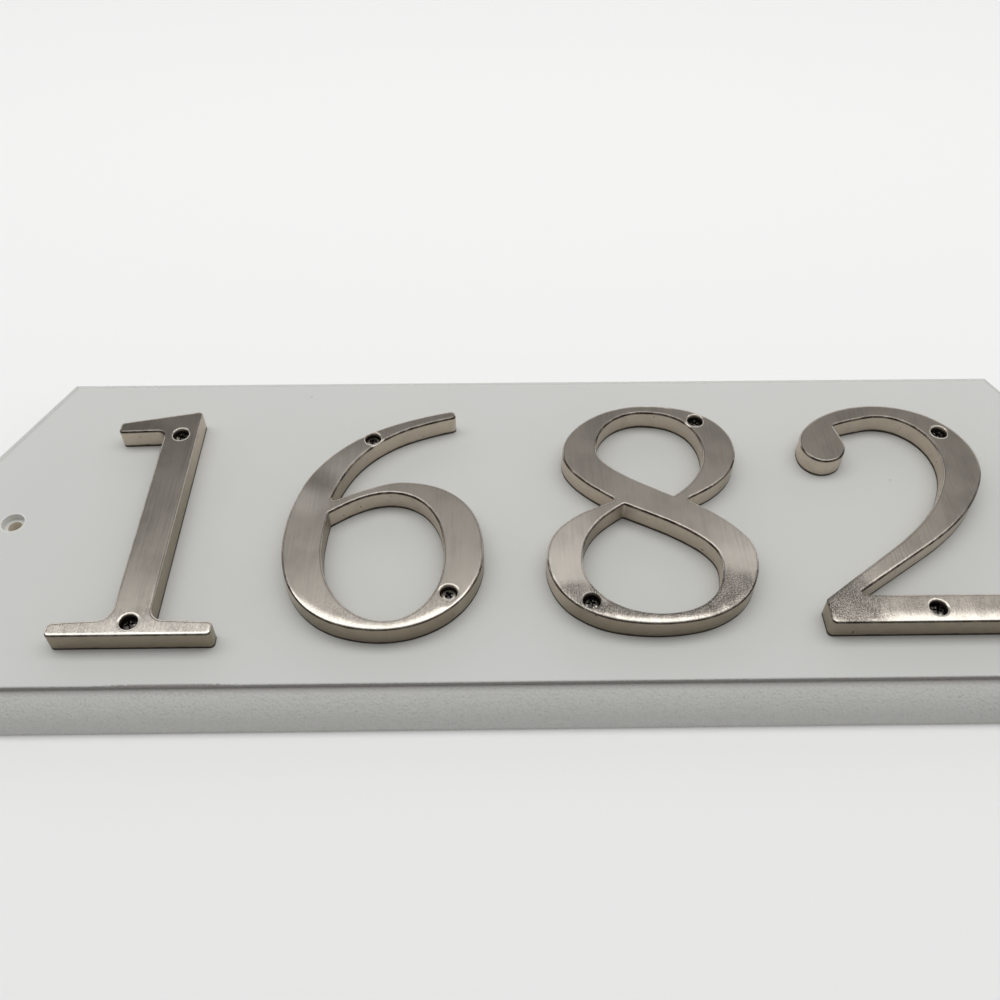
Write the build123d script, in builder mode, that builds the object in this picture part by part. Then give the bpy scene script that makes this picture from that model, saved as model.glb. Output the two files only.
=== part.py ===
"""House number plaque: four cast numerals screwed to a hexagonal board with a moulded edge.

Millimetres. The plaque lies on its back: +X is the reading direction, +Y runs up the numerals,
+Z comes out of the face, and the origin is the middle of the board's back.
"""

import os
from math import cos, radians, sin, sqrt, tan

from build123d import *

# All four castings
numeral_thickness = 7.7
edge_radius = 0.6            # rounding of each face's rim
corner_easing = 0.9          # how much rounder an outer plan corner is than that rim
crotch_easing = 0.3          # the same for an inner corner, where two strokes part

# Numeral one
one_height = 101.6           # 4 inches
one_stem = 12.2
one_stem_shift = -0.45       # of the stem from the foot's middle
one_foot = 51.9
one_foot_end = 5.1           # height of the foot at its ends
one_foot_rise = 1.1          # how much higher it is at the stem
one_bracket = 4.8            # radius between foot and stem
one_flag_reach = 17.2
one_flag_drop = 6.0          # fall of the flag's top from the stem to the tip
one_flag_tip = 5.3
one_flag_rise = 0.7          # rise of the flag's underside towards the stem
one_armpit = 3.0             # radius under the flag
one_screw_low = 5.1          # from the foot to the lower screw
one_screw_high = 12.5        # from the top to the upper screw

# Numeral six: places are shares of its width from the left, rises are from the middle of the bowl's height
six_width = 67.9
six_height = 99.6
six_bowl_height = 63.2
six_back = 13.5              # width of the heavy stroke on the left
six_side = 13.3              # width of the bowl's right side
six_bottom = 3.8             # width of the thin stroke below the counter
six_brow = 5.3               # width of the thin stroke over it
six_tip = 3.9                # width across the tip
six_tip_place = 0.838        # the tip's upper corner
six_tip_lean = 77            # degrees of the tip's end from level
six_crotch_shift = 0.9       # from the counter's left side to the crotch
six_crotch_drop = 9.2        # from the bowl's top to the crotch
six_pit_gap = 5.2            # metal between the crotch and the counter's corner
six_back_rise = 6.5          # of the outline's widest point on the left
six_base_place = 0.515       # the lowest point
six_bowl_place = 0.574       # the bowl's highest point
six_counter_back_rise = 4.5  # of the counter's widest points, left and right
six_counter_side_rise = -2.5
six_counter_base_place = 0.537
six_counter_top_place = 0.515
six_lift = 0.9               # above the foot of the one

# Numeral eight: places are shares of its width from the left, drops are from its top
eight_width = 70.9
eight_height = 100.2
eight_waist = 52.3           # height of the two notches
eight_left_notch_place = 0.357
eight_right_notch_place = 0.705
eight_lower_left = 11.9      # widths of the strokes at the sides of the two loops
eight_lower_right = 12.4
eight_upper_left = 12.5
eight_upper_right = 11.8
eight_bottom = 4.1           # widths of the thin strokes below and above
eight_top = 4.0
eight_upper_inset = 7.8      # how far the upper loop's left side lies inside the lower loop's
eight_lower_inset = 0.6      # how far the lower loop's right side lies inside the upper loop's
eight_pit_rise = 1.9         # how far each counter's corner stands off the waist line
eight_upper_pit_place = 0.643
eight_lower_pit_place = 0.395
eight_base_place = 0.494
eight_crown_place = 0.559
eight_left_height = 26.8     # heights of the lower loop's widest points
eight_right_height = 28.0
eight_upper_left_drop = 25.4
eight_upper_right_drop = 22.4
eight_counter_base_place = 0.508
eight_counter_top_place = 0.550
eight_counter_height = 24.5  # height of the lower counter's widest points
eight_counter_drop = 23.5    # drop of the upper counter's
eight_lift = 2.2

# Numeral two: places are shares of its width from the left, drops are from its top
two_width = 69.3
two_height = 99.7
two_foot_place = 0.960       # the foot's right end
two_foot_height = 10.8
two_foot_end = 9.3           # height of the foot's left end
two_crotch_place = 0.146     # where the diagonal's underside meets the foot
two_upper_slope = 37.3       # degrees of the diagonal's two edges
two_lower_slope = 34.5
two_upper_bend_place = 0.404  # where those edges stop being straight
two_lower_bend_place = 0.579
two_neck = 13.2              # width of the heavy stroke on the right
two_brow = 6.3               # width of the stroke at the top
two_crown_place = 0.548
two_right_drop = 28.0        # drop of the widest point on the right, outside and inside
two_inner_drop = 26.8
two_ball_inset = 6.4         # from the left end to the ball
two_ball_width = 16.2
two_ball_share = 0.47        # of the ball's width to the left of its lowest point
two_ball_drop = 29.4         # drops of the ball's lowest point and of its sides
two_ball_side_drop = 20.7
two_notch_inset = 2.0        # from the ball's right side to the notch over it
two_notch_drop = 10.8
two_screw_place = 0.504      # the lower screw
two_lift = 1.8

# Slopes of the outlines at corners and tips, in degrees from level
LEVEL = 0
UPRIGHT = 90
six_tip_slope = 12
six_tip_inner_slope = 14.5
six_crotch_back_slope = 78
six_crotch_bowl_slope = 29
six_pit_brow_slope = 37
six_pit_back_slope = 80
eight_left_notch_slopes = (21, 143)      # below the notch and above it
eight_right_notch_slopes = (149, 28)
eight_upper_pit_slopes = (149, 35)       # left of the corner and right of it
eight_lower_pit_slopes = (34, 151.5)
two_notch_brow_slope = 22
two_notch_ball_slope = 108

# How far a curve bulges from its chord to the corner between its end tangents: a quarter circle is 0.414
LEAN = 0.39
ROUND = 0.42
FULL = 0.465
BROAD = 0.50
TAUT = 0.54
SQUARE = 0.60

# Screw places, as shares of the way along the two edges of a stroke
six_back_screw = (0.62, 0.52)
six_heel_screw = (0.56, 0.66)
eight_heel_screw = (0.52, 0.61)
eight_crown_screw = (0.52, 0.61)
two_crown_screw = (0.69, 0.61)

# Row of numerals
one_six_gap = 17.6
six_eight_gap = 20.9
eight_two_gap = 18.1
row_shift = 0.8              # the row sits a little to the right of the board's middle

# Screws that hold the numerals
screw_length = 13.0          # under the head
screw_shank = 2.9            # diameters
screw_head = 5.4
screw_head_height = 1.7
screw_dome = 0.6             # rise of the head's crown
screw_tip = 2.4              # length of the point
recess_span = 3.0
recess_slot = 0.8
recess_depth = 1.1
recess_taper = 10            # degrees
seat_depth = 3.1             # from a numeral's face to the floor of its screw hole
seat_gap = 0.25              # round the head
shank_gap = 0.25             # round the shank in the casting
pilot_gap = 0.05             # round the shank in the board
pilot_end_gap = 0.5          # under the screw's point
rim_chamfer = 0.2
rim_angle = 90
screw_turns = (20, 65, 38, 80, 5, 50, 72, 30)   # degrees that each recess is turned

# Board
lower_margin = 13.4          # from the field's front edge to the foot of the one
upper_margin = 21.9
end_margin = 22.5            # from the row of numerals to the field's corners
end_reach = 31.5             # how far the pointed ends reach past those corners
step_depth = 2.0             # shoulder between the field and the moulded edge
field_edge_radius = 0.4
edge_round = 9.5             # radius of the moulded edge
edge_flat = 1.2              # upright strip under it

# Holes for fixing the board to a wall
fixing_inset = 26.7          # from the field's point to the hole
fixing_drop = 1.7            # below the board's middle line
fixing_hole = 5.0            # diameters
fixing_bore = 8.0
fixing_bore_depth = 2.5

# Places that follow from the sizes
board_thickness = edge_flat + edge_round + step_depth
numeral_face = board_thickness + numeral_thickness
screw_seat = numeral_face - seat_depth
screw_reach = screw_length - (numeral_thickness - seat_depth)
row_width = one_foot + one_six_gap + six_width + six_eight_gap + eight_width + eight_two_gap + two_width
field_length = row_width + 2 * end_margin
field_height = lower_margin + one_height + upper_margin
row_base = lower_margin - field_height / 2
one_left = row_shift - row_width / 2
six_left = one_left + one_foot + one_six_gap
eight_left = six_left + six_width + six_eight_gap
two_left = eight_left + eight_width + eight_two_gap
fixing_x = field_length / 2 + end_reach - fixing_inset
corner_radius = edge_radius + corner_easing
crotch_radius = edge_radius + crotch_easing


def arc_pair(start, leave, end, arrive):
    """Two arcs that meet smoothly, leaving start and arriving at end along the given directions."""
    step = end - start
    along = step.dot(leave + arrive)
    spread = 2 * (1 - leave.dot(arrive))
    pull = (sqrt(along**2 + spread * step.dot(step)) - along) / spread
    start_pull = start + leave * pull
    end_pull = end - arrive * pull
    joint = (start_pull + end_pull) / 2
    return [TangentArc(start, joint, tangent=leave), TangentArc(joint, end, tangent=end_pull - start_pull)]


def turn(start, start_slope, end, end_slope, fullness):
    """A run of arcs with the given slopes at its ends, filling the corner where those tangents cross."""
    start = Vector(*start)
    end = Vector(*end)
    start_line = Vector(cos(radians(start_slope)), sin(radians(start_slope)))
    end_line = Vector(cos(radians(end_slope)), sin(radians(end_slope)))
    reach = (end - start).cross(end_line).Z / start_line.cross(end_line).Z
    corner = start + start_line * reach
    middle = (start + end) / 2
    shoulder = middle + (corner - middle) * fullness
    chord = (end - start).normalized()
    first_half = arc_pair(start, (corner - start).normalized(), shoulder, chord)
    second_half = arc_pair(shoulder, chord, end, (end - corner).normalized())
    return Wire(first_half + second_half)


def mid_stroke(outer_curve, inner_curve, places):
    """The plan point midway between places on the two edges of a stroke."""
    middle = (outer_curve @ places[0] + inner_curve @ places[1]) / 2
    return (middle.X, middle.Y)


def numeral_plane(left, lift=0.0):
    """The plane on the board's face whose origin is a numeral's lower left corner."""
    return Plane((left, row_base + lift, board_thickness))


def on_board(plane, spots):
    """Plan points of one numeral, in the board's own coordinates."""
    return [(plane.origin.X + spot[0], plane.origin.Y + spot[1]) for spot in spots]


def corners(outline, spots):
    """The outline's corners at the given plan points."""
    return [outline.vertices().sort_by_distance((x, y, 0))[0] for x, y in spots]


def drill_screw_seats(spots):
    """Chamfered, flat-bottomed holes for the screw heads, with clearance holes for the shanks."""
    with Locations(*[(x, y, numeral_face) for x, y in spots]):
        CounterSinkHole(
            radius=screw_head / 2 + seat_gap,
            counter_sink_radius=screw_head / 2 + seat_gap + rim_chamfer,
            depth=seat_depth,
            counter_sink_angle=rim_angle,
        )
        Hole(radius=screw_shank / 2 + shank_gap, depth=numeral_thickness)


# Numeral one
one_plane = numeral_plane(one_left)
one_middle = one_foot / 2 + one_stem_shift
one_stem_left = one_middle - one_stem / 2
one_stem_right = one_middle + one_stem / 2
one_flag_left = one_stem_left - one_flag_reach
one_tip_top = one_height - one_flag_drop
one_tip_bottom = one_tip_top - one_flag_tip
one_left_bracket = (one_stem_left, one_foot_end + one_foot_rise)
one_right_bracket = (one_stem_right, one_foot_end + one_foot_rise)
one_flag_root = (one_stem_left, one_tip_bottom + one_flag_rise)
one_foot_corners = [(0, one_foot_end), (0, 0), (one_foot, 0), (one_foot, one_foot_end)]
one_flag_corners = [(one_stem_right, one_height), (one_flag_left, one_tip_top), (one_flag_left, one_tip_bottom)]
one_outline = one_foot_corners + [one_right_bracket] + one_flag_corners + [one_flag_root, one_left_bracket]
one_screws = on_board(one_plane, [(one_middle, one_screw_low), (one_middle, one_height - one_screw_high)])

with BuildPart() as one:
    with BuildSketch(one_plane) as one_face:
        with BuildLine():
            Polyline(*one_outline, close=True)
        make_face()
        fillet(corners(one_face, [one_left_bracket, one_right_bracket]), one_bracket)
        fillet(corners(one_face, [one_flag_root]), one_armpit)
        fillet(corners(one_face, one_foot_corners + one_flag_corners), corner_radius)
    extrude(amount=numeral_thickness)
    fillet(one.faces().sort_by(Axis.Z)[-1].edges(), edge_radius)
    drill_screw_seats(one_screws)

# Numeral six
six_plane = numeral_plane(six_left, six_lift)
six_belly = six_bowl_height / 2
six_left_side = (0, six_belly + six_back_rise)
six_right_side = (six_width, six_belly)
six_base = (six_base_place * six_width, 0)
six_bowl_top = (six_bowl_place * six_width, six_bowl_height)
six_tip_outer = (six_tip_place * six_width, six_height)
six_tip_run = six_tip * cos(radians(six_tip_lean))
six_tip_fall = six_tip * sin(radians(six_tip_lean))
six_tip_inner = (six_tip_outer[0] + six_tip_run, six_tip_outer[1] - six_tip_fall)
six_crotch = (six_back + six_crotch_shift, six_bowl_height - six_crotch_drop)
six_pit = (six_crotch[0], six_crotch[1] - six_pit_gap)
six_counter_left = (six_back, six_belly + six_counter_back_rise)
six_counter_right = (six_width - six_side, six_belly + six_counter_side_rise)
six_counter_base = (six_counter_base_place * six_width, six_bottom)
six_counter_top = (six_counter_top_place * six_width, six_bowl_height - six_brow)

with BuildPart() as six:
    with BuildSketch(six_plane) as six_face:
        with BuildLine():
            six_back_curve = turn(six_left_side, UPRIGHT, six_tip_outer, six_tip_slope, BROAD)
            Line(six_tip_outer, six_tip_inner)
            six_inner_curve = turn(six_crotch, six_crotch_back_slope, six_tip_inner, six_tip_inner_slope, TAUT)
            turn(six_bowl_top, LEVEL, six_crotch, six_crotch_bowl_slope, FULL)
            turn(six_bowl_top, LEVEL, six_right_side, UPRIGHT, FULL)
            six_heel_curve = turn(six_base, LEVEL, six_right_side, UPRIGHT, ROUND)
            turn(six_base, LEVEL, six_left_side, UPRIGHT, FULL)
        make_face()
        with BuildLine():
            turn(six_pit, six_pit_brow_slope, six_counter_top, LEVEL, TAUT)
            turn(six_counter_top, LEVEL, six_counter_right, UPRIGHT, FULL)
            six_counter_curve = turn(six_counter_base, LEVEL, six_counter_right, UPRIGHT, ROUND)
            turn(six_counter_base, LEVEL, six_counter_left, UPRIGHT, ROUND)
            turn(six_counter_left, UPRIGHT, six_pit, six_pit_back_slope, LEAN)
        make_face(mode=Mode.SUBTRACT)
        fillet(corners(six_face, [six_tip_outer, six_tip_inner]), corner_radius)
        fillet(corners(six_face, [six_crotch, six_pit]), crotch_radius)
    extrude(amount=numeral_thickness)
    fillet(six.faces().sort_by(Axis.Z)[-1].edges(), edge_radius)
    six_upper_screw = mid_stroke(six_back_curve, six_inner_curve, six_back_screw)
    six_lower_screw = mid_stroke(six_heel_curve, six_counter_curve, six_heel_screw)
    six_screws = on_board(six_plane, [six_lower_screw, six_upper_screw])
    drill_screw_seats(six_screws)

# Numeral eight
eight_plane = numeral_plane(eight_left, eight_lift)
eight_lower_right_x = eight_width - eight_lower_inset
eight_left_side = (0, eight_left_height)
eight_right_side = (eight_lower_right_x, eight_right_height)
eight_base = (eight_base_place * eight_width, 0)
eight_crown = (eight_crown_place * eight_width, eight_height)
eight_upper_left_side = (eight_upper_inset, eight_height - eight_upper_left_drop)
eight_upper_right_side = (eight_width, eight_height - eight_upper_right_drop)
eight_left_notch = (eight_left_notch_place * eight_width, eight_waist)
eight_right_notch = (eight_right_notch_place * eight_width, eight_waist)
eight_upper_pit = (eight_upper_pit_place * eight_width, eight_waist + eight_pit_rise)
eight_lower_pit = (eight_lower_pit_place * eight_width, eight_waist - eight_pit_rise)
eight_counter_left = (eight_lower_left, eight_counter_height)
eight_counter_right = (eight_lower_right_x - eight_lower_right, eight_counter_height)
eight_counter_base = (eight_counter_base_place * eight_width, eight_bottom)
eight_eye_left = (eight_upper_inset + eight_upper_left, eight_height - eight_counter_drop)
eight_eye_right = (eight_width - eight_upper_right, eight_height - eight_counter_drop)
eight_eye_top = (eight_counter_top_place * eight_width, eight_height - eight_top)

with BuildPart() as eight:
    with BuildSketch(eight_plane) as eight_face:
        with BuildLine():
            eight_heel_curve = turn(eight_base, LEVEL, eight_left_side, UPRIGHT, FULL)
            turn(eight_left_side, UPRIGHT, eight_left_notch, eight_left_notch_slopes[0], TAUT)
            turn(eight_left_notch, eight_left_notch_slopes[1], eight_upper_left_side, UPRIGHT, TAUT)
            turn(eight_crown, LEVEL, eight_upper_left_side, UPRIGHT, LEAN)
            eight_crown_curve = turn(eight_crown, LEVEL, eight_upper_right_side, UPRIGHT, FULL)
            turn(eight_upper_right_side, UPRIGHT, eight_right_notch, eight_right_notch_slopes[1], TAUT)
            turn(eight_right_notch, eight_right_notch_slopes[0], eight_right_side, UPRIGHT, FULL)
            turn(eight_base, LEVEL, eight_right_side, UPRIGHT, FULL)
        make_face()
        with BuildLine():
            turn(eight_upper_pit, eight_upper_pit_slopes[0], eight_eye_left, UPRIGHT, SQUARE)
            turn(eight_eye_top, LEVEL, eight_eye_left, UPRIGHT, ROUND)
            eight_eye_curve = turn(eight_eye_top, LEVEL, eight_eye_right, UPRIGHT, FULL)
            turn(eight_eye_right, UPRIGHT, eight_upper_pit, eight_upper_pit_slopes[1], FULL)
        make_face(mode=Mode.SUBTRACT)
        with BuildLine():
            turn(eight_lower_pit, eight_lower_pit_slopes[1], eight_counter_right, UPRIGHT, SQUARE)
            turn(eight_counter_base, LEVEL, eight_counter_right, UPRIGHT, FULL)
            eight_counter_curve = turn(eight_counter_base, LEVEL, eight_counter_left, UPRIGHT, ROUND)
            turn(eight_counter_left, UPRIGHT, eight_lower_pit, eight_lower_pit_slopes[0], TAUT)
        make_face(mode=Mode.SUBTRACT)
        fillet(corners(eight_face, [eight_left_notch, eight_right_notch]), crotch_radius)
        fillet(corners(eight_face, [eight_upper_pit, eight_lower_pit]), crotch_radius)
    extrude(amount=numeral_thickness)
    fillet(eight.faces().sort_by(Axis.Z)[-1].edges(), edge_radius)
    eight_lower_screw = mid_stroke(eight_heel_curve, eight_counter_curve, eight_heel_screw)
    eight_upper_screw = mid_stroke(eight_crown_curve, eight_eye_curve, eight_crown_screw)
    eight_screws = on_board(eight_plane, [eight_lower_screw, eight_upper_screw])
    drill_screw_seats(eight_screws)

# Numeral two
two_plane = numeral_plane(two_left, two_lift)
two_foot = two_foot_place * two_width
two_upper_run = two_upper_bend_place * two_width
two_lower_run = (two_lower_bend_place - two_crotch_place) * two_width
two_upper_bend = (two_upper_run, two_foot_end + two_upper_run * tan(radians(two_upper_slope)))
two_crotch = (two_crotch_place * two_width, two_foot_height)
two_lower_bend = (two_crotch[0] + two_lower_run, two_foot_height + two_lower_run * tan(radians(two_lower_slope)))
two_foot_corners = [(0, two_foot_end), (0, 0), (two_foot, 0), (two_foot, two_foot_height)]
two_crown = (two_crown_place * two_width, two_height)
two_right_side = (two_width, two_height - two_right_drop)
two_inner_top = (two_crown[0], two_height - two_brow)
two_inner_right = (two_width - two_neck, two_height - two_inner_drop)
two_ball_left = (two_ball_inset, two_height - two_ball_side_drop)
two_ball_right = (two_ball_inset + two_ball_width, two_height - two_ball_side_drop)
two_ball_base = (two_ball_inset + two_ball_share * two_ball_width, two_height - two_ball_drop)
two_notch = (two_ball_right[0] - two_notch_inset, two_height - two_notch_drop)

with BuildPart() as two:
    with BuildSketch(two_plane) as two_face:
        with BuildLine():
            Polyline(two_upper_bend, *two_foot_corners, two_crotch, two_lower_bend)
            turn(two_lower_bend, two_lower_slope, two_right_side, UPRIGHT, FULL)
            two_crown_curve = turn(two_crown, LEVEL, two_right_side, UPRIGHT, ROUND)
            turn(two_crown, LEVEL, two_ball_left, UPRIGHT, LEAN)
            turn(two_ball_base, LEVEL, two_ball_left, UPRIGHT, ROUND)
            turn(two_ball_base, LEVEL, two_ball_right, UPRIGHT, ROUND)
            turn(two_ball_right, UPRIGHT, two_notch, two_notch_ball_slope, LEAN)
            turn(two_notch, two_notch_brow_slope, two_inner_top, LEVEL, LEAN)
            two_inner_curve = turn(two_inner_top, LEVEL, two_inner_right, UPRIGHT, ROUND)
            turn(two_upper_bend, two_upper_slope, two_inner_right, UPRIGHT, FULL)
        make_face()
        fillet(corners(two_face, two_foot_corners), corner_radius)
        fillet(corners(two_face, [two_crotch, two_notch]), crotch_radius)
    extrude(amount=numeral_thickness)
    fillet(two.faces().sort_by(Axis.Z)[-1].edges(), edge_radius)
    two_upper_screw = mid_stroke(two_crown_curve, two_inner_curve, two_crown_screw)
    two_lower_screw = (two_screw_place * two_width, two_foot_height / 2)
    two_screws = on_board(two_plane, [two_lower_screw, two_upper_screw])
    drill_screw_seats(two_screws)

# One screw, its head seated at the origin, then a copy in each hole
with BuildPart() as screw:
    with BuildSketch(Plane.XZ):
        with BuildLine():
            Polyline(
                (0, screw_head_height),
                (0, -screw_length),
                (screw_shank / 2, screw_tip - screw_length),
                (screw_shank / 2, 0),
                (screw_head / 2, 0),
                (screw_head / 2, screw_head_height - screw_dome),
            )
            TangentArc((0, screw_head_height), (screw_head / 2, screw_head_height - screw_dome), tangent=(1, 0))
        make_face()
    revolve(axis=Axis.Z)
    with BuildSketch(Plane.XY.offset(screw_head_height)):
        Rectangle(recess_span, recess_slot)
        Rectangle(recess_slot, recess_span)
    extrude(amount=-recess_depth, taper=recess_taper, mode=Mode.SUBTRACT)

screw_spots = one_screws + six_screws + eight_screws + two_screws
screw_places = [
    Location((x, y, screw_seat), (0, 0, recess_turn))
    for (x, y), recess_turn in zip(screw_spots, screw_turns)
]

with BuildPart() as numeral_screws:
    with Locations(*screw_places):
        add(screw.part)

# Board: a slab with a rounded edge, and the flat field standing on it
field_outline = [
    (-field_length / 2, -field_height / 2),
    (field_length / 2, -field_height / 2),
    (field_length / 2 + end_reach, 0),
    (field_length / 2, field_height / 2),
    (-field_length / 2, field_height / 2),
    (-field_length / 2 - end_reach, 0),
]

with BuildPart() as board:
    with BuildSketch():
        with BuildLine():
            Polyline(*field_outline, close=True)
        make_face()
        offset(amount=edge_round, kind=Kind.INTERSECTION)
    extrude(amount=edge_flat + edge_round)
    fillet(board.faces().sort_by(Axis.Z)[-1].edges(), edge_round)
    with BuildSketch(Plane.XY.offset(edge_flat + edge_round)):
        with BuildLine():
            Polyline(*field_outline, close=True)
        make_face()
    extrude(amount=step_depth)
    fillet(board.faces().sort_by(Axis.Z)[-1].edges(), field_edge_radius)
    with Locations((-fixing_x, -fixing_drop, board_thickness), (fixing_x, -fixing_drop, board_thickness)):
        CounterBoreHole(
            radius=fixing_hole / 2,
            counter_bore_radius=fixing_bore / 2,
            counter_bore_depth=fixing_bore_depth,
        )
    with Locations(*[(x, y, board_thickness) for x, y in screw_spots]):
        Hole(radius=screw_shank / 2 + pilot_gap, depth=screw_reach + pilot_end_gap)

# One file for each kind of piece
board.part.label = "backing_board"
one.part.label = "numeral_one"
six.part.label = "numeral_six"
eight.part.label = "numeral_eight"
two.part.label = "numeral_two"
numeral_screws.part.label = "numeral_screws"

os.makedirs("parts", exist_ok=True)
for piece in (board, one, six, eight, two, numeral_screws):
    export_step(piece.part, "parts/" + piece.part.label + ".step")
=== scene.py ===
from math import cos, pi, radians, sin

import bmesh
import bpy
from bpy.props import FloatProperty, FloatVectorProperty, PointerProperty
from mathutils import Matrix, Vector


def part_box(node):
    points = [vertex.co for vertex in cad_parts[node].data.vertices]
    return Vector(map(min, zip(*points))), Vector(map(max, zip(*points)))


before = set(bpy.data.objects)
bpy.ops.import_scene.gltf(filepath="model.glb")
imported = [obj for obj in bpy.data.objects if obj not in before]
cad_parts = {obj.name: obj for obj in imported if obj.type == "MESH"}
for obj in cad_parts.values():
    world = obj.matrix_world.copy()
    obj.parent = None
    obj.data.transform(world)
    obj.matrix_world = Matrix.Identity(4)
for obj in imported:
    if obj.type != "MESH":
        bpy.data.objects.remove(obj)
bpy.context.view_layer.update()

bl_info = {
    "name": "House Number Plaque",
    "version": (1, 0, 0),
    "blender": (4, 5, 0),
    "location": "3D View > Sidebar > Plaque",
    "description": "Finishes for a painted board with cast numerals and their screws, and a plain studio",
    "category": "Material",
}

NUMERALS = ("numeral_one", "numeral_six", "numeral_eight", "numeral_two")

# Heights of the pieces, in metres as all lengths here
FACE_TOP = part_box("numeral_one")[1].z
FIELD_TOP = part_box("backing_board")[1].z
STEP_HEIGHT = 0.002
EDGE_TOP = FIELD_TOP - STEP_HEIGHT

# Holes that fix the board to a wall: plan centres, radius of the bores and of the holes below them
FIXING_HOLES = ((-0.1856, -0.0017), (0.1856, -0.0017))
FIXING_BORE = 0.0040
FIXING_HOLE = 0.0025
# Vertices closer than this in plan belong to one screw
SCREW_REACH = 0.006

# Patches in plan: centre, half width and half height of each oval
CHIPPED_OVAL = (-0.1180, -0.0690, 0.032, 0.012)
# Painted sheen: lighter patches on the faces
SHEEN_OVALS = {
    "numeral_one": [(-0.129, -0.0525, 0.050, 0.007)],
    "numeral_six": [(-0.0655, 0.0165, 0.018, 0.017), (-0.081, 0.001, 0.012, 0.010)],
    "numeral_eight": [(0.006, -0.021, 0.019, 0.028), (0.067, -0.019, 0.017, 0.022)],
}
GRAINY_OVALS = {
    "numeral_eight": [
        (0.0605, -0.0400, 0.016, 0.012),
        (0.010, -0.0415, 0.014, 0.008),
        (0.036, -0.0465, 0.036, 0.006),
    ],
    "numeral_two": [(0.098, -0.0445, 0.018, 0.015)],
}
DULL_OVALS = {"numeral_six": [(-0.0775, 0.0095, 0.007, 0.009)]}
# Share of an oval's reach within which its patch is full
OVAL_CORE = 0.25

# Casting pits: place and radius, and the share of the radius within which a pit is full
PITS = {
    "numeral_six": [(-0.0739, -0.0490, 0.0150, 0.0008)],
    "numeral_eight": [(0.0520, -0.0150, 0.0150, 0.0007), (0.0546, -0.0186, 0.0150, 0.0007)],
}
PIT_CORE = 0.5

# How much of the softer rounding shows on each numeral's foot
PILLOW_SHARES = {
    "numeral_one": 0.0,
    "numeral_six": 0.22,
    "numeral_eight": 0.29,
    "numeral_two": 0.15,
}
# Feet with a straight front edge tip forwards towards this normal
STRAIGHT_FEET = ("numeral_one", "numeral_two")
STRAIGHT_TIP = (0.0, -0.35, 0.94)

# Patterns of noise: sizes of the blotches along the three axes, detail and roughness
PLATE_SKIN = ((0.0007,) * 3, 3.0, 0.6)
PLATE_GRAIN = ((0.0004,) * 3, 2.0, 0.7)
PLATE_FROST = ((0.0007,) * 3, 2.0, 0.7)
PLATE_MOTTLE = ((0.0035, 0.0045, 0.004), 2.0, 0.55)
PLATE_CLOUD = ((0.016, 0.022, 0.02), 2.0, 0.55)
PLATE_PITS = ((0.0016,) * 3, 1.0, 0.5)
PAINT_CLOUD = ((0.05,) * 3, 3.0, 0.5)
PAINT_FINE = ((0.0005,) * 3, 2.0, 0.6)
SPECK_CHOICE = ((0.013,) * 3, 0.0, 0.0)
STEEL_RUB = ((0.0012,) * 3, 2.0, 0.6)
FLOOR_GRAIN = ((0.002,) * 3, 2.0, 0.5)
# Patterns whose sizes are settings: detail and roughness
BRUSH_NOISE = (3.0, 0.65)
PEEL_NOISE = (3.0, 0.6)
# Size of the brush lines along z, places for specks along a metre, and the middle of any noise
BRUSH_HEIGHT = 0.01
SPECKS_PER_METRE = 60.0
NOISE_MIDDLE = 0.5

# Masks: each pair holds the value where the mask is 0 and the value where it is 1

# By the upward part of the normal, which is 1 on a face and 0 on a wall
WALL_SLOPES = (0.35, 0.05)
RIM_END_SLOPES = (0.08, 0.30)
SHOULDER_SLOPES = (0.9, 0.4)
CHIP_SLOPES = (0.999, 0.93)
# By another part of the normal
RIM_AHEAD = (0.05, -0.20)
PILLOW_AHEAD = (-0.02, -0.20)
RIGHT_FACING = (0.5, 0.9)
# By place in plan
FOOT_PLACES = (-0.036, -0.047)
RIGHT_PLACES = (0.045, -0.005)
# By distance from the centre of a screw or a fixing hole
HOLE_RIM = (0.0044, 0.0038)
HOLE_INSIDE = (0.0034, 0.0030)
SCREW_SURROUND = (0.0070, 0.0045)
RING_INNER = (0.0013, 0.0017)
RING_OUTER = (0.0026, 0.0022)
BORE_REACH = (FIXING_BORE + 0.0006, FIXING_BORE + 0.0003)
BARE_REACH = (FIXING_HOLE + 0.0003, FIXING_HOLE)
# By height
CONTACT_HEIGHTS = (FIELD_TOP + 0.0013, FIELD_TOP + 0.0006)
HOLE_HEIGHTS = (FACE_TOP - 0.0004, FACE_TOP - 0.0013)
EDGE_HEIGHTS = (EDGE_TOP + 0.0012, EDGE_TOP + 0.0002)
LEDGE_HEIGHTS = (EDGE_TOP - 0.00003, EDGE_TOP + 0.00003)
SHOULDER_HEIGHTS = (FIELD_TOP - 0.0002, FIELD_TOP - 0.0006)
RUN_HEIGHTS = (EDGE_TOP - 0.00030, EDGE_TOP)
# By a pattern or a sum of patterns
RIM_MOTTLE = (0.35, 0.6)
GRAINY_COVER = (0.05, 0.75)
DULL_CLOUDS = (0.62, 0.35)
GRAIN_SPECKS = (0.66, 0.34)
PIT_CHOICE = (0.74, 0.80)
CHIP_COVER = (0.55, 0.80)
PAINT_CLOUDS = (0.35, 0.7)
PEBBLE_HOLLOWS = (0.50, 0.30)
SPECK_REACH = (0.035, 0.02)
SPECK_PICK = (0.55, 0.62)
RUBBED_PICK = (0.56, 0.66)

# Painted shade along the rims: slopes where the line starts and is full, and how far both drop on the feet
RIM_START = 0.9995
RIM_FULL = 0.965
RIM_START_DROP = 0.07
RIM_FULL_DROP = 0.22
# Painted rim shade: its loss round the screw holes, and its least share where mottled and away from the
# front
RIM_HOLE_FADE = 0.6
RIM_EVEN = 0.86
RIM_BEHIND = 0.45

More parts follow.
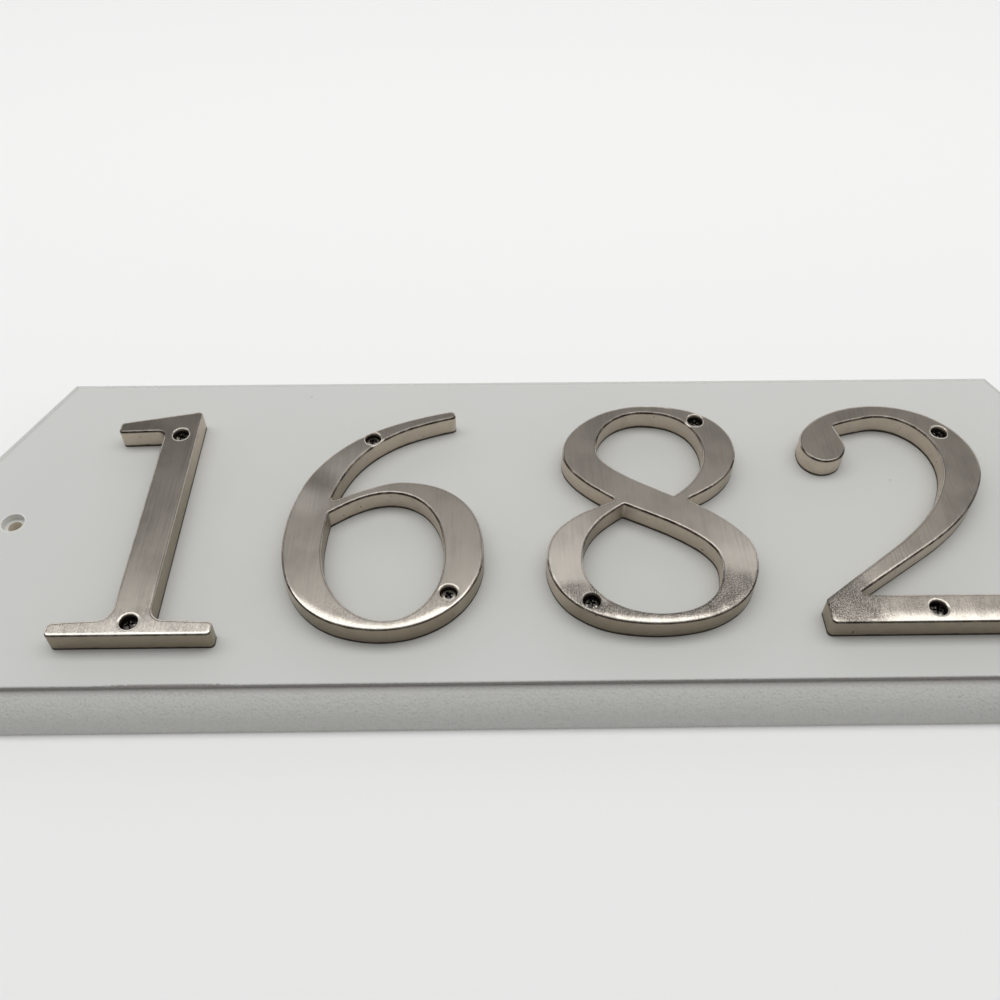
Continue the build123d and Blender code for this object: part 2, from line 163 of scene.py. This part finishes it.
# Tarnish of the plate: weight of each cause, and the level of mottle that leaves a wall plain
TARNISH_CLOUD = 0.10
TARNISH_BRUSH = 0.34
TARNISH_MOTTLE = 0.16
TARNISH_DULL = 0.24
TARNISH_GRAINY = 0.30
TARNISH_SPECKS = 0.65
TARNISH_FOOT = 0.06
FOOT_FROST = 0.85
FOOT_MOTTLE = 0.25
WALL_MOTTLE = 0.4
WALL_MOTTLE_MIDDLE = 0.45

# Raggedness of borders
GRAINY_RAGGED = 0.4
CONTACT_RAGGED = 0.0008
LINE_RAGGED = 0.0008
CHIP_RAGGED = 0.0040
RUN_RAGGED = 0.20
CHIP_PEEL = 2.0

# Strength of painted shade, dirt, patches and wear
CONTACT_SHADE = 0.9
HOLE_SHADE = 0.95
PIT_DIRT = 0.8
RUN_SHADE = 0.45
CHIP_DIRT = 0.8
CLOUD_SHARE = 0.06
PEBBLE_SHARE = 0.24
SPECK_SHARE = 0.6
BORE_SHARE = 0.4
RING_SHARE = 0.7
WORN_AND_SHEEN_SHARE = 0.7
FLOOR_SHARE = 0.04

# Roughness of each finish and what its patterns add
PLATE_CLOUD_ROUGHNESS = 0.10
GRAINY_ROUGHNESS = 0.12
SHADE_AND_DIRT_ROUGHNESS = 0.3
PAINT_ROUGHNESS = 0.42
EDGE_ROUGHNESS = 0.12
FINE_ROUGHNESS = 0.1
STEEL_ROUGHNESS = 0.30
RUBBED_ROUGHNESS = 0.08
FLOOR_ROUGHNESS = 0.8
# Specular levels, and the part of the paint's relief that is fine
PAINT_SPECULAR = 0.35
FLOOR_SPECULAR = 0.1
FINE_RELIEF = 0.03

# Sockets of the Mix node when it mixes colours
MIX_FACTOR = 0
MIX_FIRST = 6
MIX_SECOND = 7
MIX_RESULT = 2
# Sockets of the same node when it mixes vectors
VECTOR_FIRST = 4
VECTOR_SECOND = 5
VECTOR_RESULT = 1
# Samples of the Bevel node, and the factors that flatten a place into the plan
BEVEL_SAMPLES = 12
IN_PLAN = (1, 1, 0)

# Floor and the soft panel overhead
FLOOR_REACH = 2.4
FLOOR_SIDES = 128
PANEL_HEIGHT = 0.95
PANEL_BACK = 0.53
PANEL_FRONT = 0.02
PANEL_WIDTH = 2.4

# Room, by the parts of a direction: pairs as for the masks
ROOM_HORIZON = (0.58, 0.40)
ROOM_BAND = (-0.7, 0.7)
ROOM_SIDES = (-0.25, 0.25)
ROOM_TOP_BEHIND = (0.64, 0.82)
ROOM_TOP_FRONT = (0.5, 0.9)
ROOM_NEUTRAL = (0.6, 0.85)
ROOM_ACROSS = (-0.30, 0.42)
# Room halfway up behind: its share at the left, and what it gains to the right
ROOM_LEFT = 0.74
ROOM_GAIN = 0.62
# Colour of the room high up and low down
WHITE = (1.0, 1.0, 1.0, 1.0)

# Camera: place in metres and turns in degrees, worked out from the photograph's perspective
CAMERA_PLACE = (-0.0181, -0.2341, 0.28195)
CAMERA_DOWN = 48.18
CAMERA_RIGHT = 0.906
CAMERA_ROLL = -0.12
CAMERA_LENS = 36.25
CAMERA_CLIP = 0.01


def colour(name, description, default):
    """A colour property."""
    return FloatVectorProperty(
        name=name, description=description, default=default, subtype="COLOR", size=3, min=0, max=1
    )


def length(name, description, default):
    """A length property, in metres."""
    return FloatProperty(
        name=name, description=description, default=default, unit="LENGTH", min=0, precision=5
    )


def share(name, description, default):
    """A property from 0 to 1."""
    return FloatProperty(
        name=name, description=description, default=default, subtype="FACTOR", min=0, max=1
    )


def brightness(name, description, default):
    """A property for the strength of a light, where 1 is white."""
    return FloatProperty(name=name, description=description, default=default, min=0)


class BoardSettings(bpy.types.PropertyGroup):
    """Paint of the board."""

    paint: colour("Field paint", "Colour of the flat field", (0.60, 0.605, 0.585))
    cloud_paint: colour("Clouded paint", "Colour of the faint clouds in the paint", (0.45, 0.45, 0.43))
    # Painted shade: the rounded edge is a little darker than the field
    shaded_edge_paint: colour("Edge paint", "Colour of the rounded edge", (0.55, 0.55, 0.53))
    # Painted light: the paint in the bores goes lighter than the field
    bore_painted_light: colour("Bore paint", "Colour towards which the paint in the bores goes", (0.80, 0.80, 0.76))
    # Painted shade and dirt in the shoulder and in the hollows of the pebbles, also used for the chips
    crease_shade_and_dirt: colour("Crease", "Dirt held in the shoulder round the field", (0.28, 0.27, 0.255))
    speck: colour("Specks", "Dust caught in the paint", (0.36, 0.35, 0.33))
    # Colour of the bare board, partly lightened as painted light deep in the holes
    bare_board_lightened: colour("Bare board", "Unpainted board inside the fixing holes", (0.80, 0.74, 0.64))
    peel_size: length("Peel size", "Width of the bumps on the rounded edge", 0.0008)
    peel_depth: length("Peel depth", "Depth of those bumps", 0.00055)
    chip_width: length("Chip width", "How far the chips in the field's rim reach", 0.0014)


class NumeralSettings(bpy.types.PropertyGroup):
    """Plating of the castings."""

    face: colour("Face", "Colour of the brushed faces", (0.62, 0.57, 0.505))
    # Painted sheen: the lighter colour of patches on the faces
    painted_sheen: colour("Buffed", "Colour of the faces where the buff lingered", (0.92, 0.86, 0.78))
    tarnish: colour("Tarnish", "Colour of the faces where they are dull", (0.06, 0.053, 0.046))
    wall: colour("Walls", "Colour of the unbrushed sides", (0.60, 0.525, 0.435))
    # Painted shade: the darker colour of the walls of the feet and of the lower walls facing right
    shaded_wall: colour("Duller walls", "Colour of the sides of the feet", (0.35, 0.302, 0.235))
    # Painted shade: a dark line along the rims, in place of the dark room they reflect
    rim_shade_line: colour("Rim line", "Dark line along the rims", (0.035, 0.028, 0.022))
    # Painted shade at the board and in the screw holes, and dirt in the pits
    grime_and_shade: colour("Grime", "Dirt at the board, in the pits and in the holes", (0.035, 0.029, 0.024))
    brush_width: length("Brush width", "Width of one brush line", 0.0008)
    brush_length: length("Brush length", "Length of one brush line", 0.030)
    brush_depth: length("Brush depth", "Depth of the brush lines", 0.00003)
    rim_width: length("Rim width", "How far the rounding of the rims reaches", 0.0011)
    pillow_width: length("Pillow width", "How far the softer rounding of the feet reaches", 0.0060)
    painted_sheen_share: share("Buffed share", "How strongly the buffed patches show", 0.75)
    face_roughness: share("Face roughness", "Blur of the faces' reflections", 0.18)
    wall_roughness: share("Wall roughness", "Blur of the walls' reflections", 0.40)


class ScrewSettings(bpy.types.PropertyGroup):
    """Steel of the screws."""

    steel: colour("Steel", "Colour of the blackened heads", (0.045, 0.042, 0.040))
    # Also the colour of the painted sheen ring on the six's screws
    worn_steel_and_sheen: colour("Worn steel", "Colour where the black is rubbed off", (0.65, 0.60, 0.54))


class StudioSettings(bpy.types.PropertyGroup):
    """Floor and light."""

    floor: colour("Floor", "Colour of the floor", (0.91, 0.91, 0.91))
    floor_grain: colour("Floor grain", "Colour of the floor's faint grain", (0.85, 0.85, 0.85))
    room_tint: colour("Room tint", "Colour of the room halfway up", (1.0, 0.97, 0.93))
    band_behind: brightness("Band behind", "Brightness of the room low down behind the plaque", 1.3)
    band_front: brightness("Band in front", "Brightness of the room low down on the camera's side", 0.6)
    panel_light: brightness("Panel light", "Brightness of the soft panel overhead", 2.05)
    room_high: brightness("Room light above", "Brightness of the room high up", 0.52)
    room_low: brightness("Room light behind", "Brightness of the room halfway up behind the plaque", 0.15)
    room_front: brightness("Room light in front", "Brightness of the room on the camera's side", 0.20)


class Wire:
    """A shader socket that takes part in sums: each operator adds a Math node to its tree."""

    def __init__(self, tree, socket):
        self.tree = tree
        self.socket = socket

    @classmethod
    def node(cls, tree, kind, settings=None, inputs=None, output=0):
        """Adds a node, sets its settings, fills or links its inputs, and returns one output."""
        made = tree.nodes.new(kind)
        for name, value in (settings or {}).items():
            setattr(made, name, value)
        for name, value in (inputs or {}).items():
            if isinstance(value, Wire):
                tree.links.new(value.socket, made.inputs[name])
            else:
                made.inputs[name].default_value = value
        return cls(tree, made.outputs[output]) if len(made.outputs) else None

    def maths(self, operation, first, second):
        """One Math node."""
        return Wire.node(self.tree, "ShaderNodeMath", {"operation": operation}, {0: first, 1: second})

    def __add__(self, other):
        return self.maths("ADD", self, other)

    def __radd__(self, other):
        return self.maths("ADD", other, self)

    def __sub__(self, other):
        return self.maths("SUBTRACT", self, other)

    def __rsub__(self, other):
        return self.maths("SUBTRACT", other, self)

    def __mul__(self, other):
        return self.maths("MULTIPLY", self, other)

    def __rmul__(self, other):
        return self.maths("MULTIPLY", other, self)

    def larger(self, other):
        """The larger of two values."""
        return self.maths("MAXIMUM", self, other)


def vector_maths(operation, first, second=None, output="Vector"):
    """One Vector Math node on a wired vector and, where the operation takes two, another vector."""
    inputs = {0: first}
    if second is not None:
        inputs[1] = second
    return Wire.node(first.tree, "ShaderNodeVectorMath", {"operation": operation}, inputs, output)


def step(value, low, high):
    """0 where value is at low, 1 where it is at high, and a smooth way between."""
    return Wire.node(
        value.tree,
        "ShaderNodeMapRange",
        {"interpolation_type": "SMOOTHSTEP"},
        {"Value": value, "From Min": low, "From Max": high},
    )


def widest(masks):
    """The largest of several masks, or 0 where there are none."""
    total = 0.0
    for mask in masks:
        total = mask.larger(total)
    return total


def blend(factor, first, second):
    """The first colour where factor is 0 and the second where it is 1."""
    return Wire.node(
        factor.tree,
        "ShaderNodeMix",
        {"data_type": "RGBA"},
        {MIX_FACTOR: factor, MIX_FIRST: first, MIX_SECOND: second},
        MIX_RESULT,
    )


def opaque(rgb):
    """A colour property as the four numbers of a colour socket."""
    return (rgb[0], rgb[1], rgb[2], 1.0)


def object_place(tree):
    """The place on the object, in metres."""
    return Wire.node(tree, "ShaderNodeTexCoord", output="Object")


def axis_of(vector, axis):
    """One axis of a vector."""
    return Wire.node(vector.tree, "ShaderNodeSeparateXYZ", None, {"Vector": vector}, axis)


def facing(tree, axis):
    """How far the surface faces along one axis: along Z it is 1 on a face and 0 on a wall."""
    return axis_of(Wire.node(tree, "ShaderNodeNewGeometry", output="Normal"), axis)


def noise(place, sizes, detail, roughness):
    """Noise whose blotches have the given sizes along the three axes, in metres."""
    scales = tuple(1 / size for size in sizes)
    stretched = vector_maths("MULTIPLY", place, scales)
    return Wire.node(
        place.tree,
        "ShaderNodeTexNoise",
        None,
        {"Vector": stretched, "Scale": 1.0, "Detail": detail, "Roughness": roughness},
    )


def swing(pattern):
    """A pattern of noise moved to lie about 0."""
    return pattern - NOISE_MIDDLE


def plan_distance(place, x, y):
    """Distance in plan from an upright line."""
    return vector_maths("DISTANCE", vector_maths("MULTIPLY", place, IN_PLAN), (x, y, 0), "Value")


def inside_oval(place, oval):
    """1 in the middle of a plan oval, falling to 0 at its border."""
    x, y, half_width, half_height = oval
    shifted = vector_maths("SUBTRACT", place, (x, y, 0))
    scaled = vector_maths("MULTIPLY", shifted, (1 / half_width, 1 / half_height, 0))
    return step(vector_maths("LENGTH", scaled, output="Value"), 1.0, OVAL_CORE)


def inside_any(place, ovals):
    """1 in the middle of any of several plan ovals."""
    return widest(inside_oval(place, oval) for oval in ovals)


def bumped(height, depth, normal=None):
    """A normal that follows a height from 0 to 1."""
    inputs = {"Strength": 1.0, "Distance": depth, "Height": height}
    if normal is not None:
        inputs["Normal"] = normal
    return Wire.node(height.tree, "ShaderNodeBump", None, inputs)


def softened(tree, reach):
    """The normal with each edge rounded off over the given reach."""
    return Wire.node(tree, "ShaderNodeBevel", {"samples": BEVEL_SAMPLES}, {"Radius": reach})


def lean(factor, first, second):
    """The first normal where factor is 0 and the second where it is 1."""
    mixed = Wire.node(
        factor.tree,
        "ShaderNodeMix",
        {"data_type": "VECTOR"},
        {MIX_FACTOR: factor, VECTOR_FIRST: first, VECTOR_SECOND: second},
        VECTOR_RESULT,
    )
    return vector_maths("NORMALIZE", mixed)


def new_material(name):
    """An empty node material."""
    material = bpy.data.materials.new(name)
    material.use_nodes = True
    material.node_tree.nodes.clear()
    return material


def close_material(material, inputs):
    """Ends a material in a Principled shader with the given inputs."""
    surface = Wire.node(material.node_tree, "ShaderNodeBsdfPrincipled", None, inputs)
    Wire.node(material.node_tree, "ShaderNodeOutputMaterial", None, {"Surface": surface})


def dress(node, material):
    """Gives a CAD node one material."""
    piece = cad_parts[node]
    piece.data.materials.clear()
    piece.data.materials.append(material)


def screw_centres():
    """Plan centres of the screws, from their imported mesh."""
    groups = []
    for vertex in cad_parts["numeral_screws"].data.vertices:
        spot = Vector((vertex.co.x, vertex.co.y))
        home = next((group for group in groups if (group[0] - spot).length < SCREW_REACH), None)
        if home is None:
            groups.append([spot])
        else:
            home.append(spot)
    centres = []
    for group in groups:
        low = Vector((min(spot.x for spot in group), min(spot.y for spot in group)))
        high = Vector((max(spot.x for spot in group), max(spot.y for spot in group)))
        centres.append((low + high) / 2)
    return centres


def screws_of(node):
    """Plan centres of the screws that hold one numeral."""
    low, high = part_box(node)
    return [centre for centre in screw_centres() if low.x < centre.x < high.x]


def nickel(node, settings):
    """Brushed nickel plate of one casting, with its own screw holes, patches and pits."""
    material = new_material("satin_nickel_" + node)
    tree = material.node_tree
    place = object_place(tree)
    plan_y = axis_of(place, "Y")
    height = axis_of(place, "Z")
    wall = step(facing(tree, "Z"), *WALL_SLOPES)
    face = 1 - wall
    foot = step(plan_y, *FOOT_PLACES)
    off_screws = [plan_distance(place, centre.x, centre.y) for centre in screws_of(node)]

    brush = noise(place, (settings.brush_width, settings.brush_length, BRUSH_HEIGHT), *BRUSH_NOISE)
    skin = noise(place, *PLATE_SKIN)
    grain = noise(place, *PLATE_GRAIN)
    frost = noise(place, *PLATE_FROST)
    mottle = noise(place, *PLATE_MOTTLE)
    cloud = noise(place, *PLATE_CLOUD)

    # Rims are softened all round and carry a line of painted shade, clearest on the rims that face forwards
    rim = softened(tree, settings.rim_width)
    slope = axis_of(rim, "Z")
    around_holes = widest(step(off, *HOLE_RIM) for off in off_screws)
    rim_shade_line = step(slope, RIM_START - RIM_START_DROP * foot, RIM_FULL - RIM_FULL_DROP * foot)
    rim_shade_line = rim_shade_line * step(slope, *RIM_END_SLOPES) * (1 - RIM_HOLE_FADE * around_holes)
    rim_shade_line = rim_shade_line * (RIM_EVEN + (1 - RIM_EVEN) * step(mottle, *RIM_MOTTLE))
    rim_shade_line = rim_shade_line * (RIM_BEHIND + (1 - RIM_BEHIND) * step(axis_of(rim, "Y"), *RIM_AHEAD))

    # The front of the feet rolls over more softly
    if node in STRAIGHT_FEET:
        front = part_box(node)[0].y
        pillow = STRAIGHT_TIP
        pillowed = step(plan_y, front + settings.pillow_width, front) * face
    else:
        near_screws = widest(step(off, *SCREW_SURROUND) for off in off_screws)
        pillow = softened(tree, settings.pillow_width)
        pillowed = foot * step(axis_of(pillow, "Y"), *PILLOW_AHEAD) * step(near_screws, 1.0, 0.0)
    pillowed = pillowed * PILLOW_SHARES[node]

    # Patches, among them lighter ones of painted sheen
    grainy = inside_any(place, GRAINY_OVALS.get(node, ())) * face
    grainy = step(grainy + swing(mottle) * GRAINY_RAGGED, *GRAINY_COVER)
    painted_sheen = inside_any(place, SHEEN_OVALS.get(node, ())) * face
    dull = inside_any(place, DULL_OVALS.get(node, ())) * face
    tarnish = TARNISH_CLOUD * step(cloud, *DULL_CLOUDS) + swing(brush) * TARNISH_BRUSH
    tarnish = tarnish + swing(mottle) * TARNISH_MOTTLE + dull * TARNISH_DULL
    tarnish = tarnish + grainy * (TARNISH_GRAINY + TARNISH_SPECKS * step(grain, *GRAIN_SPECKS))
    tarnish = tarnish + foot * (TARNISH_FOOT + swing(frost) * FOOT_FROST + swing(mottle) * FOOT_MOTTLE)
    tarnish = tarnish * face + wall * (mottle - WALL_MOTTLE_MIDDLE) * WALL_MOTTLE

    # Painted shade at the foot of the walls by the board and down in the screw holes, and dirt in the pits
    contact_shade = step(height + swing(mottle) * CONTACT_RAGGED, *CONTACT_HEIGHTS) * CONTACT_SHADE
    holes = widest(step(off, *HOLE_INSIDE) for off in off_screws)
    holes = holes * step(height, *HOLE_HEIGHTS) * HOLE_SHADE
    pits = step(noise(place, *PLATE_PITS), *PIT_CHOICE) * wall * PIT_DIRT
    for x, y, z, radius in PITS.get(node, ()):
        off = vector_maths("DISTANCE", place, (x, y, z), "Value")
        pits = pits.larger(step(off + swing(skin) * radius, radius, PIT_CORE * radius))
    shade_and_dirt = contact_shade.larger(holes).larger(pits)

    # Painted shade: sides are darker on the feet and, lower down, on walls that face right
    right_shade = step(facing(tree, "X"), *RIGHT_FACING) * step(plan_y, *RIGHT_PLACES)
    sides = blend(foot.larger(right_shade), opaque(settings.wall), opaque(settings.shaded_wall))
    plate = blend(wall, opaque(settings.face), sides)
    plate = blend(painted_sheen * settings.painted_sheen_share, plate, opaque(settings.painted_sheen))
    plate = blend(tarnish, plate, opaque(settings.tarnish))
    # Painted shade along the rims
    plate = blend(rim_shade_line, plate, opaque(settings.rim_shade_line))
    plate = blend(shade_and_dirt, plate, opaque(settings.grime_and_shade))
    roughness = settings.face_roughness + swing(cloud) * PLATE_CLOUD_ROUGHNESS + grainy * GRAINY_ROUGHNESS
    roughness = roughness * face + settings.wall_roughness * wall + shade_and_dirt * SHADE_AND_DIRT_ROUGHNESS
    texture = brush * face + grainy * grain + skin * wall
    normal = bumped(texture, settings.brush_depth, lean(pillowed, rim, pillow))
    close_material(
        material, {"Base Color": plate, "Metallic": 1.0, "Roughness": roughness, "Normal": normal}
    )
    return material


def board_paint(settings):
    """Satin white paint, smooth on the field and pebbled on the rounded edge."""
    material = new_material("board_paint")
    tree = material.node_tree
    place = object_place(tree)
    height = axis_of(place, "Z")
    off_holes = [plan_distance(place, x, y) for x, y in FIXING_HOLES]
    bores = widest(step(off, *BORE_REACH) for off in off_holes)
    bare = widest(step(off, *BARE_REACH) for off in off_holes)
    edge = step(height, *EDGE_HEIGHTS) * (1 - bores)
    cloud = noise(place, *PAINT_CLOUD)
    peel = noise(place, (settings.peel_size,) * 3, *PEEL_NOISE)
    fine = noise(place, *PAINT_FINE)

    # Painted shade and dirt in the shoulder, painted shade spreading a little over the top of the rounded
    # edge, and chips above it
    chipped = inside_oval(place, CHIPPED_OVAL)
    ragged = swing(peel) * (LINE_RAGGED + CHIP_RAGGED * chipped)
    above = step(height, *LEDGE_HEIGHTS)
    shoulder = step(height + ragged, *SHOULDER_HEIGHTS) * step(facing(tree, "Z"), *SHOULDER_SLOPES) * above
    run = step(height + ragged * RUN_RAGGED, *RUN_HEIGHTS) * (1 - above) * RUN_SHADE
    near_edge = step(axis_of(softened(tree, settings.chip_width), "Z"), *CHIP_SLOPES)
    chips = step(near_edge * chipped + swing(peel) * CHIP_PEEL, *CHIP_COVER) * (1 - edge) * CHIP_DIRT
    crease_shade_and_dirt = shoulder.larger(run).larger(chips) * (1 - bores)

    cell_inputs = {"Vector": place, "Scale": SPECKS_PER_METRE}
    cells = Wire.node(tree, "ShaderNodeTexVoronoi", None, cell_inputs, "Distance")
    specks = step(cells, *SPECK_REACH) * step(noise(place, *SPECK_CHOICE), *SPECK_PICK)

    # The rounded edge a little darker, as painted shade
    paint = blend(edge, opaque(settings.paint), opaque(settings.shaded_edge_paint))
    paint = blend(step(cloud, *PAINT_CLOUDS) * CLOUD_SHARE, paint, opaque(settings.cloud_paint))
    # Painted shade in the hollows of the pebbles on the rounded edge
    paint = blend(edge * step(peel, *PEBBLE_HOLLOWS) * PEBBLE_SHARE, paint, opaque(settings.crease_shade_and_dirt))
    paint = blend(specks * SPECK_SHARE, paint, opaque(settings.speck))
    paint = blend(crease_shade_and_dirt, paint, opaque(settings.crease_shade_and_dirt))
    # Painted light: the paint in the bores goes lighter
    paint = blend(bores * BORE_SHARE, paint, opaque(settings.bore_painted_light))
    # Bare board in the holes, lightened as painted light
    paint = blend(bare, paint, opaque(settings.bare_board_lightened))
    roughness = PAINT_ROUGHNESS + edge * EDGE_ROUGHNESS + swing(fine) * FINE_ROUGHNESS
    normal = bumped(peel * edge + fine * FINE_RELIEF, settings.peel_depth)
    close_material(
        material,
        {
            "Base Color": paint,
            "Roughness": roughness,
            "Normal": normal,
            "Specular IOR Level": PAINT_SPECULAR,
        },
    )
    return material


def screw_steel(settings):
    """Blackened steel, rubbed bright in places, with a painted sheen in a ring on the screws of the six."""
    material = new_material("dark_steel")
    place = object_place(material.node_tree)
    sheen_rings = []
    for centre in screws_of("numeral_six"):
        off = plan_distance(place, centre.x, centre.y)
        sheen_rings.append(step(off, *RING_INNER) * step(off, *RING_OUTER))
    # Rubbed places, and the painted sheen rings on the six's screws
    rubbed = step(noise(place, *STEEL_RUB), *RUBBED_PICK).larger(widest(sheen_rings) * RING_SHARE)
    steel = blend(rubbed * WORN_AND_SHEEN_SHARE, opaque(settings.steel), opaque(settings.worn_steel_and_sheen))
    roughness = STEEL_ROUGHNESS + rubbed * RUBBED_ROUGHNESS
    close_material(material, {"Base Color": steel, "Metallic": 1.0, "Roughness": roughness})
    return material


def add_floor(settings):
    """A wide, round, pale floor."""
    mesh = bpy.data.meshes.new("floor")
    shape = bmesh.new()
    bmesh.ops.create_circle(shape, cap_ends=True, segments=FLOOR_SIDES, radius=FLOOR_REACH)
    shape.to_mesh(mesh)
    shape.free()
    floor = bpy.data.objects.new("floor", mesh)
    bpy.context.scene.collection.objects.link(floor)
    material = new_material("pale_floor")
    grain = noise(object_place(material.node_tree), *FLOOR_GRAIN)
    tint = blend(grain * FLOOR_SHARE, opaque(settings.floor), opaque(settings.floor_grain))
    close_material(
        material,
        {"Base Color": tint, "Roughness": FLOOR_ROUGHNESS, "Specular IOR Level": FLOOR_SPECULAR},
    )
    mesh.materials.append(material)


def add_panel(settings):
    """One soft light panel overhead."""
    depth = PANEL_BACK - PANEL_FRONT
    light = bpy.data.lights.new("soft_panel", "AREA")
    light.shape = "RECTANGLE"
    light.size = PANEL_WIDTH
    light.size_y = depth
    light.energy = settings.panel_light * PANEL_WIDTH * depth * pi
    panel = bpy.data.objects.new("soft_panel", light)
    panel.location = (0, (PANEL_BACK + PANEL_FRONT) / 2, PANEL_HEIGHT)
    bpy.context.scene.collection.objects.link(panel)


def light_room(settings):
    """A dim room, pale low down and brighter overhead."""
    world = bpy.data.worlds.new("room")
    world.use_nodes = True
    tree = world.node_tree
    tree.nodes.clear()
    way = Wire.node(tree, "ShaderNodeTexCoord", output="Generated")
    up = axis_of(way, "Z")
    back = axis_of(way, "Y")
    across = ROOM_LEFT + ROOM_GAIN * step(axis_of(way, "X"), *ROOM_ACROSS)
    rise_behind = (settings.room_high - settings.room_low) * step(up, *ROOM_TOP_BEHIND)
    rise_front = (settings.room_high - settings.room_front) * step(up, *ROOM_TOP_FRONT)
    behind = settings.room_low * across + rise_behind
    before = settings.room_front + rise_front
    side = step(back, *ROOM_SIDES)
    horizon = step(up, *ROOM_HORIZON)
    band = settings.band_front + (settings.band_behind - settings.band_front) * step(back, *ROOM_BAND)
    level = (behind * side + before * (1 - side)) * (1 - horizon) + band * horizon
    neutral = step(up, *ROOM_NEUTRAL).larger(horizon)
    tint = blend(neutral, opaque(settings.room_tint), WHITE)
    room = Wire.node(tree, "ShaderNodeBackground", None, {"Color": tint, "Strength": level})
    Wire.node(tree, "ShaderNodeOutputWorld", None, {"Surface": room})
    bpy.context.scene.world = world


def add_camera():
    """A camera at the photograph's place."""
    down = radians(CAMERA_DOWN)
    right_turn = radians(CAMERA_RIGHT)
    roll = radians(CAMERA_ROLL)
    forward = Vector((sin(right_turn) * cos(down), cos(right_turn) * cos(down), -sin(down)))
    level_right = Vector((cos(right_turn), -sin(right_turn), 0))
    level_down = forward.cross(level_right)
    right = level_right * cos(roll) + level_down * sin(roll)
    up = level_right * sin(roll) - level_down * cos(roll)
    turn = Matrix((right, up, -forward)).transposed().to_4x4()
    lens = bpy.data.cameras.new("camera")
    lens.lens = CAMERA_LENS
    lens.clip_start = CAMERA_CLIP
    camera = bpy.data.objects.new("camera", lens)
    camera.matrix_world = Matrix.Translation(CAMERA_PLACE) @ turn
    bpy.context.scene.collection.objects.link(camera)
    bpy.context.scene.camera = camera


class PLAQUE_OT_board(bpy.types.Operator):
    """Paint the board"""

    bl_idname = "plaque.board"
    bl_label = "Paint Board"

    def execute(self, context):
        dress("backing_board", board_paint(context.scene.plaque_board))
        return {"FINISHED"}


class PLAQUE_OT_numerals(bpy.types.Operator):
    """Plate and brush the cast numerals"""

    bl_idname = "plaque.numerals"
    bl_label = "Finish Numerals"

    def execute(self, context):
        for node in NUMERALS:
            dress(node, nickel(node, context.scene.plaque_numerals))
        return {"FINISHED"}


class PLAQUE_OT_screws(bpy.types.Operator):
    """Blacken the screws"""

    bl_idname = "plaque.screws"
    bl_label = "Finish Screws"

    def execute(self, context):
        dress("numeral_screws", screw_steel(context.scene.plaque_screws))
        return {"FINISHED"}


class PLAQUE_OT_studio(bpy.types.Operator):
    """Set the floor, the light and the camera"""

    bl_idname = "plaque.studio"
    bl_label = "Set Studio"

    def execute(self, context):
        settings = context.scene.plaque_studio
        add_floor(settings)
        add_panel(settings)
        light_room(settings)
        add_camera()
        context.scene.view_settings.view_transform = "Standard"
        return {"FINISHED"}


# Settings on the scene, each with its group and the operator that uses it
SETTINGS = {
    "plaque_board": (BoardSettings, PLAQUE_OT_board),
    "plaque_numerals": (NumeralSettings, PLAQUE_OT_numerals),
    "plaque_screws": (ScrewSettings, PLAQUE_OT_screws),
    "plaque_studio": (StudioSettings, PLAQUE_OT_studio),
}


class PLAQUE_PT_sidebar(bpy.types.Panel):
    """Lists the steps that dress the plaque"""

    bl_idname = "PLAQUE_PT_sidebar"
    bl_label = "House Number Plaque"
    bl_space_type = "VIEW_3D"
    bl_region_type = "UI"
    bl_category = "Plaque"

    def draw(self, context):
        for name, (group, operator) in SETTINGS.items():
            box = self.layout.box()
            box.operator(operator.bl_idname)
            for field in group.__annotations__:
                box.prop(getattr(context.scene, name), field)


def register():
    for name, (group, operator) in SETTINGS.items():
        bpy.utils.register_class(group)
        setattr(bpy.types.Scene, name, PointerProperty(type=group))
        bpy.utils.register_class(operator)
    bpy.utils.register_class(PLAQUE_PT_sidebar)


def unregister():
    bpy.utils.unregister_class(PLAQUE_PT_sidebar)
    for name, (group, operator) in SETTINGS.items():
        bpy.utils.unregister_class(operator)
        delattr(bpy.types.Scene, name)
        bpy.utils.unregister_class(group)


def main():
    register()
    bpy.ops.plaque.board()
    bpy.ops.plaque.numerals()
    bpy.ops.plaque.screws()
    bpy.ops.plaque.studio()


if __name__ == "__main__":
    main()
